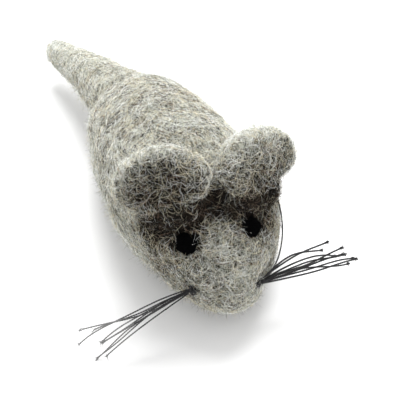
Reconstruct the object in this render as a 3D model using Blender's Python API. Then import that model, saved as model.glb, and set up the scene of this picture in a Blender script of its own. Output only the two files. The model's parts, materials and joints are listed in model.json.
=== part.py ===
"""A felted-wool cat-toy mouse: a grey wool body with a felted tail and ears, black wool eyes,
and a tuft of knotted black thread whiskers on each side of the muzzle.

Metres, +Z up, nose towards -Y, the mouse's own left side towards +X. The origin is the middle
of the flat belly, on the surface that the mouse rests on. The head is turned a little to the
mouse's right, as a hand-rolled felt body comes out, so everything on the head is placed in
the head's own frame: lateral, backward, up.
"""

import math

import bmesh
import bpy
from mathutils import Euler, Vector

MM = 0.001
GAP = 0.3 * MM  # left between pieces that touch on the real toy

# Body: stations run from the nose, 0, to the rump, 1, along a bent centre line. The sections'
# half widths, tops and bottoms are in mm.
BODY_LENGTH = 72 * MM
ORIGIN_STATION = 0.45
HEAD_STATION = 0.25
HEAD_YAW = math.radians(10)
RUMP_YAW = math.radians(2)
STATIONS = (0.0, 0.02, 0.06, 0.16, 0.30, 0.45, 0.60, 0.75, 0.88, 0.96, 0.985, 1.0)
HALF_WIDTHS = (0.6, 4.6, 8.0, 13.6, 17.6, 19.2, 18.2, 16.0, 13.0, 8.8, 5.8, 1.6)
TOPS = (11.8, 15.4, 19.2, 26.2, 32.4, 34.2, 33.2, 31.0, 27.4, 22.8, 20.0, 16.2)
BOTTOMS = (10.6, 7.2, 4.2, 0.4, -1.2, -1.4, -1.4, -1.0, 1.6, 5.8, 8.8, 13.0)
WIDEST_AT = 0.48  # share of a section's height at which it is widest
ROUNDNESS = 2.1  # superellipse exponent of the sections

# Core wool inside the felt skin.
SKIN_THICKNESS = 4.2 * MM
CORE_START, CORE_END = 0.17, 0.945

# Tail: a tapered felt roll whose root is a ball in a dimple of the rump.
TAIL_ROOT_RADIUS = 7.2 * MM
TAIL_TIP_RADIUS = 4.2 * MM
TAIL_LENGTH = 44 * MM
TAIL_ROOT_BEHIND_RUMP = 1.2 * MM
TAIL_ROOT_HEIGHT = 15.5 * MM
TAIL_YAW_START, TAIL_YAW_END = math.radians(5), math.radians(14)
TAIL_PITCH_START, TAIL_PITCH_END = math.radians(-8), math.radians(-5)

# Ears: thick dished pads, wide across the head, on a ball in a dimple of the skull.
EAR_HALF_WIDTH = 10.2 * MM
EAR_HALF_HEIGHT = 7.0 * MM
EAR_HALF_THICKNESS = 4.1 * MM
EAR_DISH_DEPTH = 2.2 * MM
EAR_DISH_REACH = 0.85  # share of the ear's half width and height that the dish covers
EAR_CENTRE_LEFT = Vector((11.8, 1.0, 32.6)) * MM  # the left ear sits lower and further out
EAR_CENTRE_RIGHT = Vector((-9.4, 1.0, 34.0)) * MM
EAR_YAW, EAR_TILT, EAR_ROLL = math.radians(32), math.radians(28), math.radians(20)
EAR_BALL_RADIUS = 3.6 * MM
EAR_BALL_BELOW_CENTRE = 5.4 * MM
EAR_SEAT_RADIUS = 6.0 * MM  # clear of the ear's lower rim as the ear folds
EAR_SEAT_HALF_LENGTH = 11.0 * MM

# Eyes: flattened black wool balls, sunk into the face.
EYE_CENTRE = (6.9 * MM, -7.3 * MM, 23.0 * MM)
EYE_RADIUS = 2.3 * MM
EYE_HALF_THICKNESS = 1.6 * MM
EYE_TILT, EYE_YAW = math.radians(42), math.radians(38)

# Whiskers: black sewing thread, knotted on each side of the muzzle.
THREAD_DIAMETER = 0.3 * MM
KNOT_RADIUS = 0.9 * MM
KNOT_LEFT = Vector((6.1, -14.9, 12.9)) * MM
KNOT_RIGHT = Vector((-8.1, -13.2, 14.5)) * MM
BUNDLE_DIAMETER = 1.3 * MM
CHANNEL_DIAMETER = 2.0 * MM
ROOT_PITCH = 0.42 * MM  # spacing of the threads where they leave a knot
WHISKER_FAN = 0.85  # under 1, the threads part early and then run straighter
WHISKER_POINTS = 9
# Where each thread ends, from its knot: outward, backward, up, and its bow, in mm. Three rows of
# three, the top row first and the front thread of each row first.
WHISKERS_LEFT = (
    (20.5, 0.8, 2.8, -0.6), (16.0, 1.8, 2.4, 3.6), (18.0, 3.0, 3.2, 1.6),
    (21.0, 0.6, 0.4, 0.2), (20.0, 2.2, -2.0, 3.0), (23.5, 3.4, -4.4, 1.4),
    (25.0, 0.8, -3.4, -0.6), (25.0, 2.2, -5.0, 0.4), (25.0, 3.4, -8.6, 1.4),
)
WHISKERS_RIGHT = (
    (24.5, -3.4, 2.6, -2.2), (22.0, -2.0, -1.0, -0.6), (26.0, -0.8, -6.8, 1.8),
    (21.0, -3.4, -4.6, 0.4), (21.0, -2.0, -6.6, 0.8), (21.5, -0.8, -8.6, 1.4),
    (21.0, -3.4, -10.2, 0.8), (23.0, -2.2, -11.8, 1.6), (23.5, -1.0, -14.6, 2.0),
)
# A slack stitch on the mouse's left cheek, from under the ear to the whisker knot, in mm.
CHEEK_STITCH = (
    (16.4, -0.4, 20.6), (16.9, -1.6, 17.4), (16.7, -3.6, 13.4), (15.5, -6.0, 11.2),
    (13.7, -8.6, 10.5), (11.6, -11.0, 10.9), (9.9, -12.8, 11.6), (8.6, -14.0, 12.4),
)

GREY_WOOL = ((0.36, 0.36, 0.33), 0.95)
PALE_WOOL = ((0.50, 0.49, 0.45), 0.95)
BLACK_WOOL = ((0.010, 0.010, 0.012), 0.95)
BLACK_THREAD = ((0.015, 0.016, 0.018), 0.60)


def new_collection(name):
    collection = bpy.data.collections.new(name)
    bpy.context.scene.collection.children.link(collection)
    return collection


def add_material(name, look):
    colour, roughness = look
    material = bpy.data.materials.new(name)
    material.use_nodes = True
    shader = material.node_tree.nodes["Principled BSDF"]
    shader.inputs["Base Color"].default_value = (*colour, 1)
    shader.inputs["Roughness"].default_value = roughness
    shader.inputs["Metallic"].default_value = 0
    return material


def add_mesh(name, bm, collection, look=None):
    """A smooth-shaded mesh object from bm, which is freed."""
    bmesh.ops.recalc_face_normals(bm, faces=bm.faces)
    mesh = bpy.data.meshes.new(name)
    bm.to_mesh(mesh)
    bm.free()
    mesh.shade_smooth()
    obj = bpy.data.objects.new(name, mesh)
    collection.objects.link(obj)
    if look:
        mesh.materials.append(add_material(name, look))
    else:
        obj.hide_render = True
        obj.display_type = "WIRE"
    return obj


def add_frame(name, location, rotation, parent=None):
    """An empty that holds a local frame, or a joint's axis."""
    empty = bpy.data.objects.new(name, None)
    empty.location = location
    empty.rotation_mode = rotation.order
    empty.rotation_euler = rotation
    empty.parent = parent
    parts.objects.link(empty)
    return empty


def cut(target, cutter):
    modifier = target.modifiers.new("cut_" + cutter.name, "BOOLEAN")
    modifier.operation = "DIFFERENCE"
    modifier.object = cutter


def station_value(values, station):
    """A smooth curve through the body's station values, with no overshoot between them."""
    steps = [b - a for a, b in zip(STATIONS, STATIONS[1:])]
    slopes = [(b - a) / step for a, b, step in zip(values, values[1:], steps)]
    tangents = [slopes[0]]
    for before, after in zip(slopes, slopes[1:]):
        same_way = before * after > 0
        tangents.append(2 * before * after / (before + after) if same_way else 0.0)
    tangents.append(slopes[-1])
    i = min(sum(station > s for s in STATIONS[1:]), len(steps) - 1)
    u = (station - STATIONS[i]) / steps[i]
    return MM * (
        (2 * u**3 - 3 * u**2 + 1) * values[i]
        + (u**3 - 2 * u**2 + u) * steps[i] * tangents[i]
        + (3 * u**2 - 2 * u**3) * values[i + 1]
        + (u**3 - u**2) * steps[i] * tangents[i + 1]
    )


def spine_yaw(station):
    """Turn of the centre line about Z: the head's yaw, straight at mid-body, then the rump's."""
    straight = 0.6
    if station < HEAD_STATION:
        return -HEAD_YAW
    if station < straight:
        return -HEAD_YAW * (straight - station) / (straight - HEAD_STATION)
    return RUMP_YAW * (station - straight) / (1 - straight)


def walk(start, end, steps=60):
    """Way along the centre line from one station to another."""
    way = Vector((0, 0, 0))
    for i in range(steps):
        yaw = spine_yaw(start + (end - start) * (i + 0.5) / steps)
        way += Vector((-math.sin(yaw), math.cos(yaw), 0)) * BODY_LENGTH * (end - start) / steps
    return way


def spine_point(station):
    return walk(ORIGIN_STATION, station)


def section(station, sides, inset=0.0):
    """One cross-section of the body, inset towards its middle, with its belly flattened at z = inset."""
    half_width = station_value(HALF_WIDTHS, station) - inset
    top = station_value(TOPS, station) - inset
    bottom = station_value(BOTTOMS, station) + inset
    widest = bottom + (top - bottom) * WIDEST_AT
    yaw = spine_yaw(station)
    across = Vector((math.cos(yaw), math.sin(yaw), 0))
    middle = spine_point(station)
    ring = []
    for i in range(sides):
        angle = 2 * math.pi * i / sides
        c = math.copysign(abs(math.cos(angle)) ** (2 / ROUNDNESS), math.cos(angle))
        s = math.copysign(abs(math.sin(angle)) ** (2 / ROUNDNESS), math.sin(angle))
        height = widest + s * ((top - widest) if s > 0 else (widest - bottom))
        point = middle + across * half_width * c
        ring.append((point.x, point.y, max(height, inset)))
    return ring


def loft(rings):
    """A closed mesh through rings of points, capped at both ends."""
    bm = bmesh.new()
    rows = [[bm.verts.new(p) for p in ring] for ring in rings]
    for row, following in zip(rows, rows[1:]):
        for i in range(len(row)):
            j = (i + 1) % len(row)
            bm.faces.new((row[i], row[j], following[j], following[i]))
    bm.faces.new(rows[0])
    bm.faces.new(rows[-1])
    return bm


def eased_stations(start, end, count):
    """Stations spaced closer at both ends, where the form rounds over."""
    ease = [(1 - math.cos(math.pi * i / (count - 1))) / 2 for i in range(count)]
    return [start + (end - start) * e for e in ease]


def add_ball(name, centre, radius, collection, look=None, parent=None, scale=(1, 1, 1)):
    bm = bmesh.new()
    bmesh.ops.create_uvsphere(bm, u_segments=20, v_segments=12, radius=radius)
    bmesh.ops.scale(bm, verts=bm.verts, vec=Vector(scale))
    ball = add_mesh(name, bm, collection, look)
    ball.location = centre
    ball.parent = parent
    return ball


def add_tube(name, points, radii, collection, look, parent=None, resolution=2):
    """A tube through points, each with its own radius, with filled ends."""
    curve = bpy.data.curves.new(name, "CURVE")
    curve.dimensions = "3D"
    curve.bevel_depth = 1.0
    curve.bevel_resolution = resolution
    curve.use_fill_caps = True
    spline = curve.splines.new("POLY")
    spline.points.add(len(points) - 1)
    for place, point, radius in zip(spline.points, points, radii):
        place.co = (*point, 1)
        place.radius = radius
        place.tilt = 0
    spline.use_smooth = True
    tube = bpy.data.objects.new(name, curve)
    tube.parent = parent
    collection.objects.link(tube)
    curve.materials.append(add_material(name, look))
    return tube


def smooth_route(points, per_stretch=3):
    """Points on a smooth curve through the given points (Catmull-Rom)."""
    padded = [2 * points[0] - points[1], *points, 2 * points[-1] - points[-2]]
    route = []
    for a, b, c, d in zip(padded, padded[1:], padded[2:], padded[3:]):
        for i in range(per_stretch):
            u = i / per_stretch
            route.append(
                0.5 * (2 * b + (c - a) * u + (2 * a - 5 * b + 4 * c - d) * u**2)
                + 0.5 * (3 * b - a - 3 * c + d) * u**3
            )
    return [*route, points[-1]]


def add_body():
    """The felt skin, hollow for its core, and the core wool packed inside it."""
    skin_rings = [section(s, 36) for s in eased_stations(0, 1, 30)]
    skin = add_mesh("felt_body", loft(skin_rings), parts, GREY_WOOL)
    hollow_rings = [
        section(s, 20, SKIN_THICKNESS) for s in eased_stations(CORE_START, CORE_END, 12)
    ]
    cut(skin, add_mesh("hollow_cutter", loft(hollow_rings), cutters))
    core_rings = [
        section(s, 20, SKIN_THICKNESS + GAP)
        for s in eased_stations(CORE_START + 0.006, CORE_END - 0.006, 12)
    ]
    core = add_mesh("core_wool", loft(core_rings), parts, PALE_WOOL)
    return skin, core


def add_tail(skin, core):
    """The tail, a tapered roll that starts in a ball, and the dimple for that ball."""
    ball_points, tip_places, tip_starts, full_taper_at = 6, (0.93, 0.965, 0.985, 0.996, 1.0), 0.88, 0.8
    joint = spine_point(1.0) + Vector((0, TAIL_ROOT_BEHIND_RUMP, TAIL_ROOT_HEIGHT))
    frame = add_frame("tail_joint", joint, Euler((0, 0, 0)))
    points, radii = [], []
    for i in range(1, ball_points):
        angle = math.pi / 2 * i / ball_points
        yaw, pitch = TAIL_YAW_START, TAIL_PITCH_START
        back = Vector((-math.sin(yaw), math.cos(yaw), math.tan(pitch))).normalized()
        points.append(-back * TAIL_ROOT_RADIUS * math.cos(angle))
        radii.append(TAIL_ROOT_RADIUS * math.sin(angle))
    point = Vector((0, 0, 0))
    places = [i / 11 * tip_starts for i in range(12)] + list(tip_places)
    for along, following in zip(places, [*places[1:], 1.0]):
        points.append(point.copy())
        taper = TAIL_ROOT_RADIUS + (TAIL_TIP_RADIUS - TAIL_ROOT_RADIUS) * min(along / full_taper_at, 1)
        rounding = max(0.0, (along - 0.9) / 0.1)
        radii.append(taper * math.sqrt(max(1 - rounding**2, 0.02)))
        yaw = TAIL_YAW_START + (TAIL_YAW_END - TAIL_YAW_START) * along
        pitch = TAIL_PITCH_START + (TAIL_PITCH_END - TAIL_PITCH_START) * along
        heading = Vector((-math.sin(yaw), math.cos(yaw), math.tan(pitch))).normalized()
        point += heading * TAIL_LENGTH * (following - along)
    add_tube("tail", points, radii, parts, PALE_WOOL, frame, resolution=8)
    dimple = add_ball("tail_dimple", joint, TAIL_ROOT_RADIUS + GAP, cutters)
    cut(skin, dimple)
    cut(core, dimple)


def add_ear(side, head, skin):
    """One ear: a dished pad on a ball. Its local X is the line it folds about, and Z is up the ear."""
    name = "ear_left" if side > 0 else "ear_right"
    turn = Euler((-EAR_TILT, side * EAR_ROLL, side * EAR_YAW), "YXZ")
    centre = EAR_CENTRE_LEFT if side > 0 else EAR_CENTRE_RIGHT
    down = turn.to_matrix() @ Vector((0, 0, -EAR_BALL_BELOW_CENTRE))
    joint = add_frame(name + "_joint", centre + down, turn, head)

    bm = bmesh.new()
    bmesh.ops.create_uvsphere(bm, u_segments=24, v_segments=14, radius=1)
    for vert in bm.verts:
        x, y, z = vert.co
        inward = max(0.0, 1 - (x * x + z * z) / EAR_DISH_REACH**2)
        front = y < 0
        y = y * EAR_HALF_THICKNESS + (EAR_DISH_DEPTH * inward**0.8 if front else 0)
        vert.co = (x * EAR_HALF_WIDTH, y, z * EAR_HALF_HEIGHT + EAR_BALL_BELOW_CENTRE)
    ear = add_mesh(name, bm, parts, GREY_WOOL)
    ear.parent = joint
    root = add_ball(name + "_root", (0, 0, 0), EAR_BALL_RADIUS, cutters, parent=joint)
    join = ear.modifiers.new("root", "BOOLEAN")
    join.operation = "UNION"
    join.object = root
    seat = add_ball(name + "_seat", (0, 0, 0), EAR_SEAT_RADIUS, cutters, parent=joint,
                    scale=(EAR_SEAT_HALF_LENGTH / EAR_SEAT_RADIUS, 1, 1))
    cut(skin, seat)


def add_eye(side, head, skin):
    name = "eye_left" if side > 0 else "eye_right"
    turn = Euler((-EYE_TILT, 0, side * EYE_YAW), "XYZ")
    centre = Vector((side * EYE_CENTRE[0], EYE_CENTRE[1], EYE_CENTRE[2]))
    frame = add_frame(name + "_frame", centre, turn, head)
    flat = EYE_HALF_THICKNESS / EYE_RADIUS
    add_ball(name, (0, 0, 0), EYE_RADIUS, parts, BLACK_WOOL, frame, (1, flat, 1))
    pocket_radius = EYE_RADIUS + GAP
    pocket_flat = (EYE_HALF_THICKNESS + GAP) / pocket_radius
    pocket = add_ball(name + "_pocket", (0, 0, 0), pocket_radius, cutters, None, frame,
                      (1, pocket_flat, 1))
    cut(skin, pocket)


def add_whiskers(side, head, skin):
    """A knot seated in the muzzle and nine threads that fan out of it, on one swing frame."""
    word = "left" if side > 0 else "right"
    centre = KNOT_LEFT if side > 0 else KNOT_RIGHT
    tips = WHISKERS_LEFT if side > 0 else WHISKERS_RIGHT
    joint = add_frame(f"whiskers_{word}_joint", centre, Euler((0, 0, 0)), head)
    add_ball(f"whisker_knot_{word}", (0, 0, 0), KNOT_RADIUS, parts, BLACK_THREAD, joint)
    cut(skin, add_ball(f"knot_{word}_dimple", (0, 0, 0), KNOT_RADIUS + GAP, cutters, None, joint))
    for i, (out, back, up, bow) in enumerate(tips):
        row, column = divmod(i, 3)
        root = Vector((side * (KNOT_RADIUS + GAP), (column - 1) * ROOT_PITCH, (1 - row) * ROOT_PITCH))
        tip = Vector((side * out, back, up)) * MM
        points = []
        for k in range(WHISKER_POINTS):
            u = k / (WHISKER_POINTS - 1)
            point = root.lerp(tip, u ** WHISKER_FAN)
            point.x = root.x + (tip.x - root.x) * u
            point.z += bow * MM * 4 * u * (1 - u)
            points.append(point)
        radii = [THREAD_DIAMETER / 2] * len(points)
        add_tube(f"whisker_{word}_{i + 1}", points, radii, parts, BLACK_THREAD, joint)


def add_thread_bundle(head, skin):
    """The threads' stretch inside the muzzle, from knot to knot, and the channel it lies in."""
    way = (KNOT_RIGHT - KNOT_LEFT).normalized()
    start = KNOT_LEFT + way * (KNOT_RADIUS + GAP)
    end = KNOT_RIGHT - way * (KNOT_RADIUS + GAP)
    points = [start.lerp(end, i / 4) for i in range(5)]
    add_tube("whisker_threads_in_muzzle", points, [BUNDLE_DIAMETER / 2] * 5, parts,
             BLACK_THREAD, head)
    bm = bmesh.new()
    bmesh.ops.create_cone(bm, cap_ends=True, segments=12, radius1=CHANNEL_DIAMETER / 2,
                          radius2=CHANNEL_DIAMETER / 2, depth=(KNOT_RIGHT - KNOT_LEFT).length)
    channel = add_mesh("thread_channel", bm, cutters)
    channel.parent = head
    channel.location = (KNOT_LEFT + KNOT_RIGHT) / 2
    channel.rotation_mode = "QUATERNION"
    channel.rotation_quaternion = way.to_track_quat("Z", "Y")
    cut(skin, channel)


def add_cheek_thread(head):
    route = smooth_route([Vector(point) * MM for point in CHEEK_STITCH])
    radii = [THREAD_DIAMETER / 2] * len(route)
    add_tube("cheek_thread", route, radii, parts, BLACK_THREAD, head)


for leftover in list(bpy.data.objects):
    bpy.data.objects.remove(leftover)

parts = new_collection("felt_mouse")
cutters = new_collection("cutters")
felt_skin, wool_core = add_body()
add_tail(felt_skin, wool_core)
head_frame = add_frame("head_frame", spine_point(HEAD_STATION), Euler((0, 0, -HEAD_YAW)))
for mirror in (1, -1):
    add_ear(mirror, head_frame, felt_skin)
    add_eye(mirror, head_frame, felt_skin)
    add_whiskers(mirror, head_frame, felt_skin)
add_thread_bundle(head_frame, felt_skin)
add_cheek_thread(head_frame)
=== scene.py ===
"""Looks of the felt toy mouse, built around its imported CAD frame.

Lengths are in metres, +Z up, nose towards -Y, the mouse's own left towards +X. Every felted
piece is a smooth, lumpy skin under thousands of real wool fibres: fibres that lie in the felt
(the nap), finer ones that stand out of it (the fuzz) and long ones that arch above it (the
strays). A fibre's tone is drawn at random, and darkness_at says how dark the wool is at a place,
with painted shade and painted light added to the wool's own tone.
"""

import json
import math

import bmesh
import bpy
import numpy as np
from mathutils import Euler, Matrix, Vector, noise
from mathutils.bvhtree import BVHTree


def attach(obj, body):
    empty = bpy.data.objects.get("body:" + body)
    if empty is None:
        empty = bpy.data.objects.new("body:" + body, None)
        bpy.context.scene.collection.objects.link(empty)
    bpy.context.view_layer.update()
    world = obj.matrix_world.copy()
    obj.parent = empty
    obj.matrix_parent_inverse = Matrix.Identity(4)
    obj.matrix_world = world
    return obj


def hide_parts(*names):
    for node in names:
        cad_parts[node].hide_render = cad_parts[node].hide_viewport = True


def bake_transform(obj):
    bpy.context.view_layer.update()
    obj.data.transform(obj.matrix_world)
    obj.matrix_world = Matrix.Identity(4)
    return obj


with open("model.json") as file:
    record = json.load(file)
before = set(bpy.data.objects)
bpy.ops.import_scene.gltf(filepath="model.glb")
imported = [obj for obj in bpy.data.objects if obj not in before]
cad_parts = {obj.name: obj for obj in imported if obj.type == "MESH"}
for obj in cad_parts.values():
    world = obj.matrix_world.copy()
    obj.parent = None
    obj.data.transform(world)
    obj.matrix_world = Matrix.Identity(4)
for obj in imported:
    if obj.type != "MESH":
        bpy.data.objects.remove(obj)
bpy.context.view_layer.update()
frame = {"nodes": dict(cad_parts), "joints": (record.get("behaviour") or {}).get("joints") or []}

MM = 0.001
JOINTS = {joint["name"]: joint for joint in frame["joints"]}

# Body: the CAD's stations along a bent centre line, from the nose, 0, to the rump, 1.
BODY_LENGTH = 72 * MM
ORIGIN_STATION = 0.45
HEAD_STATION = 0.25
HEAD_YAW = math.radians(10)
RUMP_YAW = math.radians(2)
STATIONS = (0.0, 0.02, 0.06, 0.16, 0.30, 0.45, 0.60, 0.75, 0.88, 0.96, 0.985, 1.0)
HALF_WIDTHS = (0.6, 4.6, 8.0, 13.6, 17.6, 19.2, 18.2, 16.0, 13.0, 8.8, 5.8, 1.6)
TOPS = (11.8, 15.4, 19.2, 26.2, 32.4, 34.2, 33.2, 31.0, 27.4, 22.8, 20.0, 16.2)
BOTTOMS = (10.6, 7.2, 4.2, 0.4, -1.2, -1.4, -1.4, -1.0, 1.6, 5.8, 8.8, 13.0)
WIDEST_AT = 0.48  # the share of a section's height where it is widest
ROUNDNESS = 2.1  # 2 is an ellipse, and more is boxier
SKIN_VOXEL = 0.6 * MM  # the grain of the remeshed skin
# Hand-shaped hollows, and swellings where the depth is below 0: centre, radius, depth and the way
# that a hollow is pressed, in mm.
BODY_DENTS = (
    ((14, 4, 28), 17, 1.9, (-0.7, 0, -0.7)),  # flatter left shoulder
    ((6, 32, 25), 8, -1.0, (-0.2, -0.4, -0.9)),  # fuller rump beside the tail
    ((-15, -14, 8), 10, 2.0, (0.9, 0.35, 0.2)),  # slimmer right cheek
    ((-11, -25, 8), 8, 1.4, (0.7, 0.7, 0)),  # and beside the right whiskers
    ((-9, 33, 16), 8, -0.9, (0.8, -0.4, -0.3)),  # rump running into the tail
)

# Tail: radius at each distance behind its joint, in mm. It starts inside the rump.
TAIL_PROFILE = (
    (-9.0, 7.5), (-5.0, 8.5), (-1.0, 8.7), (5.0, 7.8), (11.0, 7.0),
    (22.0, 5.6), (32.0, 4.5), (37.0, 4.0), (40.0, 3.5), (42.0, 2.7), (43.0, 1.8), (43.5, 0.7),
)
TAIL_SAG = Vector((-0.4, 0, -0.4)) * MM  # how far its middle lies from the CAD's, past the root
TAIL_ROOT_LENGTH = 6 * MM  # the stretch over which the sag sets in
SEAM = JOINTS["tail_swing"]["pos_m"][1] - 4 * MM  # Y where the body's skin hands over to the tail's
SEAM_OVERLAP = 3 * MM  # how far each skin runs on past the seam
RIM_DIVE = 0.7 * MM  # and how deep its rim goes there
TAIL_YAW_START, TAIL_YAW_END = math.radians(5), math.radians(14)
TAIL_PITCH_START, TAIL_PITCH_END = math.radians(-8), math.radians(-5)

# Ears, in their joint's own frame: X across the ear, Z up it, -Y its dished front.
EAR_HALF_WIDTH = 10.3 * MM
EAR_HALF_HEIGHT = 7.1 * MM
EAR_HALF_THICKNESS = 4.2 * MM
EAR_DISH_DEPTH = 2.8 * MM
EAR_CENTRE_HEIGHT = 5.4 * MM
EAR_ROOT_SIZE, EAR_ROOT_PLACE = (6.5, 3.2, 4.6), (0, 1.8, -0.5)  # the ball at its foot, in mm
EAR_LIP = 0.84, 0.12  # how tall its lower half is against its upper, and the slant of the lip
EAR_YAW, EAR_TILT, EAR_ROLL = math.radians(32), math.radians(28), math.radians(20)

EYE_CENTRE = (6.9 * MM, -7.3 * MM, 23.0 * MM)
EYE_RADIUS = 2.3 * MM
EYE_HALF_THICKNESS = 1.6 * MM
EYE_SQUARENESS = 0.76  # 1 is round, and less is squarer
EYE_TILT, EYE_YAW = math.radians(42), math.radians(38)

THREAD_RADIUS = {"left": 0.23 * MM, "right": 0.17 * MM}
STITCH_RADIUS = 0.20 * MM
THREAD_TWIST = 1.1 * MM  # the length of one turn of its plies
FRAY_START = 0.965  # the share of a thread's length where its plies start to part
KNOTS = [Vector(JOINTS[f"whiskers_{word}_sweep"]["pos_m"]) for word in ("left", "right")]
KNOT_RADIUS = 0.9 * MM
ROOT_PITCH = 0.42 * MM  # the spacing of the CAD's threads where they leave a knot
ROOT_CROWDING = 0.7  # how much closer these threads lie there
# Where each thread ends, from its knot: outward, backward, up, and its bow, in mm.
WHISKERS_LEFT = (
    (20.5, 0.8, 2.8, -0.6), (16.0, 1.8, 2.4, 3.6), (18.0, 3.0, 3.2, 1.6),
    (21.0, 0.6, 0.4, 0.2), (20.0, 2.2, -2.0, 3.0), (23.5, 3.4, -4.4, 1.4),
    (25.0, 0.8, -3.4, -0.6), (25.0, 2.2, -5.0, 0.4), (25.0, 3.4, -8.6, 1.4),
)
WHISKERS_RIGHT = (
    (24.5, -3.4, 2.6, -2.2), (22.0, -2.0, -1.0, -0.6), (26.0, -0.8, -6.8, 1.8),
    (21.0, -3.4, -4.6, 0.4), (21.0, -2.0, -6.6, 0.8), (21.5, -0.8, -8.6, 1.4),
    (21.0, -3.4, -10.2, 0.8), (23.0, -2.2, -11.8, 1.6), (23.5, -1.0, -14.6, 2.0),
)
# The slack stitch on the left cheek: (lateral, backward, up) in the head's frame, in mm.
CHEEK_STITCH = (
    (16.4, -0.4, 20.6), (16.9, -1.6, 17.4), (16.7, -3.6, 13.4), (15.5, -6.0, 11.2),
    (13.7, -8.6, 10.5), (11.6, -11.0, 10.9), (9.9, -12.8, 11.6), (8.6, -14.0, 12.4),
)

# Wool tones, linear RGB, and how much of each there is in wool of darkness -1, 0, 1 and 2.
# Darkness past 1 is mostly painted shade, and below 0 partly painted light towards the tail's tip.
TONES = {
    "white": (0.86, 0.87, 0.84),
    "cream": (0.78, 0.72, 0.54),
    "pale": (0.52, 0.54, 0.47),
    "fawn": (0.42, 0.31, 0.23),
    "grey": (0.21, 0.22, 0.19),
    "umber": (0.085, 0.062, 0.043),
    "black": (0.010, 0.008, 0.007),
}
WOOL_MIXES = np.array([
    (0.68, 0.03, 0.25, 0.00, 0.04, 0.00, 0.00),
    (0.31, 0.18, 0.32, 0.02, 0.13, 0.04, 0.00),
    (0.18, 0.22, 0.02, 0.06, 0.02, 0.14, 0.36),
    (0.02, 0.03, 0.01, 0.03, 0.03, 0.24, 0.64),
])
# Darker and paler wool on the head: (lateral, backward, up) in the head's frame, in mm, and weight.
WOOL_PATCHES = (
    ((-12, -4, 20), 0.40), ((-11, -9, 15), 0.45), ((12.5, -6.5, 19), 0.6), ((1, -10, 22), -0.25),
)
# Where painted shadow makes the wool darkest, in the folds under the ears' lips, in the same frame.
RIGHT_BROW = ((-12.9, -1.2, 24.0), (-10.1, -2.8, 25.6), (-7.0, -3.7, 26.8), (-3.8, -3.9, 27.5),
              (-0.6, -3.3, 28.5))
LEFT_BROW = ((1.6, -1.6, 29.6), (4.4, -5.2, 26.4), (7.4, -5.0, 25.4), (10.6, -4.2, 23.6))


# ---------------------------------------------------------------- shapes

def station_value(values, station):
    """A smooth curve through the body's station values, with no overshoot between them."""
    steps = [b - a for a, b in zip(STATIONS, STATIONS[1:])]
    slopes = [(b - a) / step for a, b, step in zip(values, values[1:], steps)]
    tangents = [slopes[0]]
    for before, after in zip(slopes, slopes[1:]):
        same_way = before * after > 0
        tangents.append(2 * before * after / (before + after) if same_way else 0.0)
    tangents.append(slopes[-1])
    i = min(sum(station > s for s in STATIONS[1:]), len(steps) - 1)
    u = (station - STATIONS[i]) / steps[i]
    return MM * (
        (2 * u**3 - 3 * u**2 + 1) * values[i]
        + (u**3 - 2 * u**2 + u) * steps[i] * tangents[i]
        + (3 * u**2 - 2 * u**3) * values[i + 1]
        + (u**3 - u**2) * steps[i] * tangents[i + 1]
    )


def spine_yaw(station):
    """The heading of the centre line, which bends in the neck and a little in the rump."""
    straight = 0.6
    if station < HEAD_STATION:
        return -HEAD_YAW
    if station < straight:
        return -HEAD_YAW * (straight - station) / (straight - HEAD_STATION)
    return RUMP_YAW * (station - straight) / (1 - straight)


def spine_point(station, steps=60):
    """A place on the centre line, walked from the origin's station."""
    way = Vector((0, 0, 0))
    for i in range(steps):
        yaw = spine_yaw(ORIGIN_STATION + (station - ORIGIN_STATION) * (i + 0.5) / steps)
        stride = BODY_LENGTH * (station - ORIGIN_STATION) / steps
        way += Vector((-math.sin(yaw), math.cos(yaw), 0)) * stride
    return way


def section(station, sides):
    """One cross-section of the body, with its belly flattened at z = 0."""
    half_width = station_value(HALF_WIDTHS, station)
    top = station_value(TOPS, station)
    bottom = station_value(BOTTOMS, station)
    widest = bottom + (top - bottom) * WIDEST_AT
    yaw = spine_yaw(station)
    across = Vector((math.cos(yaw), math.sin(yaw), 0))
    middle = spine_point(station)
    ring = []
    for i in range(sides):
        angle = 2 * math.pi * i / sides
        c = math.copysign(abs(math.cos(angle)) ** (2 / ROUNDNESS), math.cos(angle))
        s = math.copysign(abs(math.sin(angle)) ** (2 / ROUNDNESS), math.sin(angle))
        height = widest + s * ((top - widest) if s > 0 else (widest - bottom))
        point = middle + across * half_width * c
        ring.append((point.x, point.y, max(height, 0)))
    return ring


HEAD_ORIGIN = spine_point(HEAD_STATION)
HEAD_TURN = Euler((0, 0, -HEAD_YAW)).to_matrix()


def in_head(lateral, backward, up):
    """A place given in the head's frame, in metres."""
    return HEAD_ORIGIN + HEAD_TURN @ Vector((lateral, backward, up))


def eye_place(side, behind=0.0, above=0.0):
    """An eye's middle, or a place behind and above it."""
    return in_head(side * EYE_CENTRE[0], EYE_CENTRE[1] + behind, EYE_CENTRE[2] + above)


def smooth_route(points, per_stretch):
    """Points on a smooth curve through the given points (Catmull-Rom)."""
    padded = [2 * points[0] - points[1], *points, 2 * points[-1] - points[-2]]
    route = []
    for a, b, c, d in zip(padded, padded[1:], padded[2:], padded[3:]):
        for i in range(per_stretch):
            u = i / per_stretch
            route.append(
                0.5 * (2 * b + (c - a) * u + (2 * a - 5 * b + 4 * c - d) * u**2)
                + 0.5 * (3 * b - a - 3 * c + d) * u**3
            )
    return [*route, points[-1]]


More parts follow.
